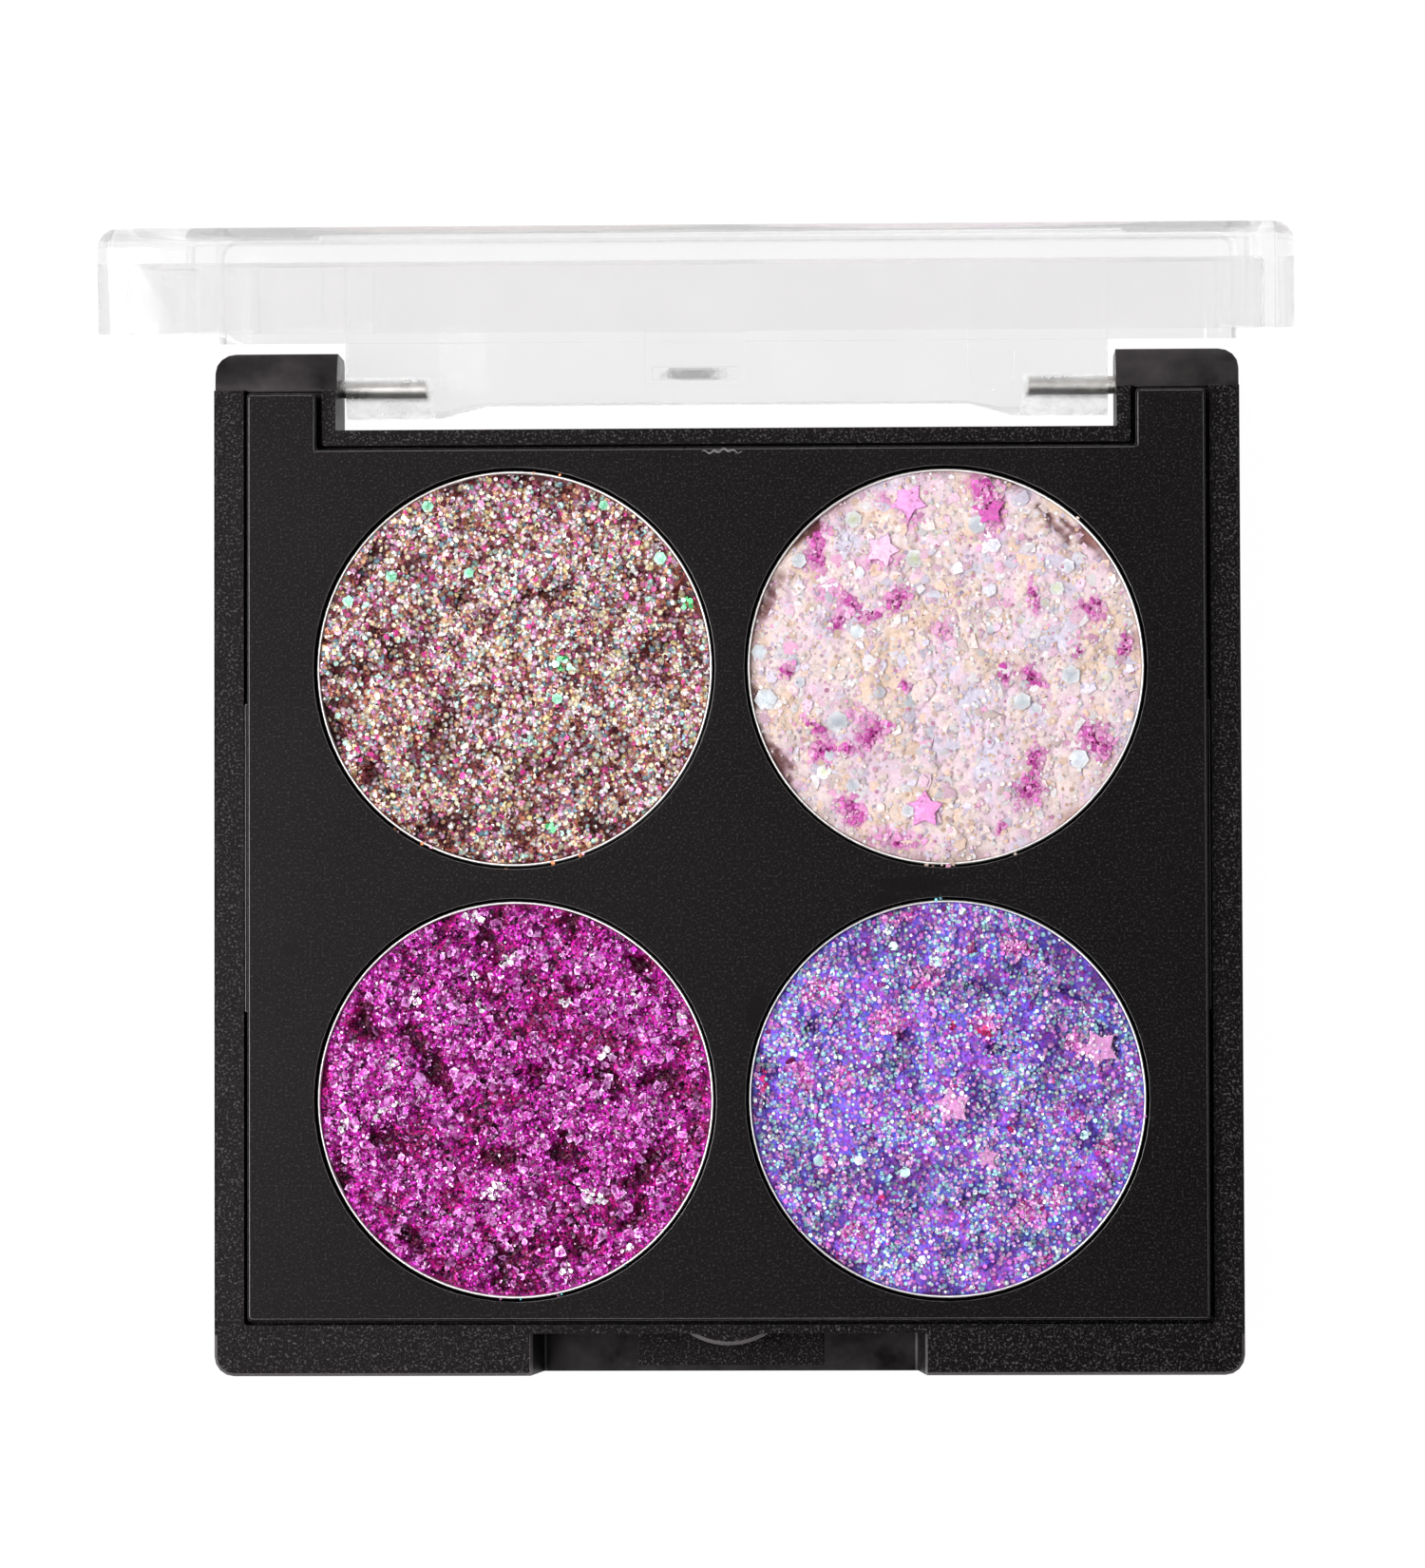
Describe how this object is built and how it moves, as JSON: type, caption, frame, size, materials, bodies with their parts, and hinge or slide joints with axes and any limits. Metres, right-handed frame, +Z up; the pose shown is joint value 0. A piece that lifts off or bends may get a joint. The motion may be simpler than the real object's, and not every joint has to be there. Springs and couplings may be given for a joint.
{
  "type": "eyeshadow palette",
  "caption": "Square pressed-powder eyeshadow palette: black case, drop-in pan tray, round glitter pans and a clear lid hinged at the back on steel pins.",
  "frame": {"origin": "centre of the flat underside of the case", "axes": "+Z up out of the pans, +Y towards the hinge at the back, -Y towards the thumb notch at the front, X along the hinge"},
  "size_m": [0.0676, 0.0752, 0.0689],
  "materials": {
    "case_black": "moulded black plastic, finely textured rims, glossier hinge ears",
    "tray_black": "moulded black plastic, fine matte texture",
    "pan_aluminium": "thin pressed aluminium, bright rim",
    "cake_bronze": "pressed bronze glitter powder",
    "cake_blush": "pressed pale pink glitter powder",
    "cake_magenta": "pressed magenta glitter powder",
    "cake_violet": "pressed violet glitter powder",
    "pan_glue": "soft glue disc, out of sight under the pan",
    "star_pink": "thin pearly film",
    "pin_steel": "drawn steel wire",
    "clear_lid": "clear polished plastic"
  },
  "bodies": {
    "base": {"base_case": "case_black", "pan_tray": "tray_black", "pan_back_left": "pan_aluminium", "pan_back_right": "pan_aluminium", "pan_front_left": "pan_aluminium", "pan_front_right": "pan_aluminium", "shadow_back_left": "cake_bronze", "shadow_back_right": "cake_blush", "shadow_front_left": "cake_magenta", "shadow_front_right": "cake_violet", "glue_back_left": "pan_glue", "glue_back_right": "pan_glue", "glue_front_left": "pan_glue", "glue_front_right": "pan_glue", "star_blush_front": "star_pink", "star_blush_back_left": "star_pink", "star_blush_back_right": "star_pink", "star_violet_middle": "star_pink", "star_violet_right": "star_pink", "hinge_pin_left": "pin_steel", "hinge_pin_right": "pin_steel"},
    "lid": {"lid": "clear_lid"}
  },
  "joints": [
    {"name": "lid_hinge", "type": "hinge", "parent": "base", "child": "lid", "pos_m": [0, 0.0315, 0.0031], "axis": [-1, 0, 0], "range_deg": [-83.7, 26]}
  ]
}
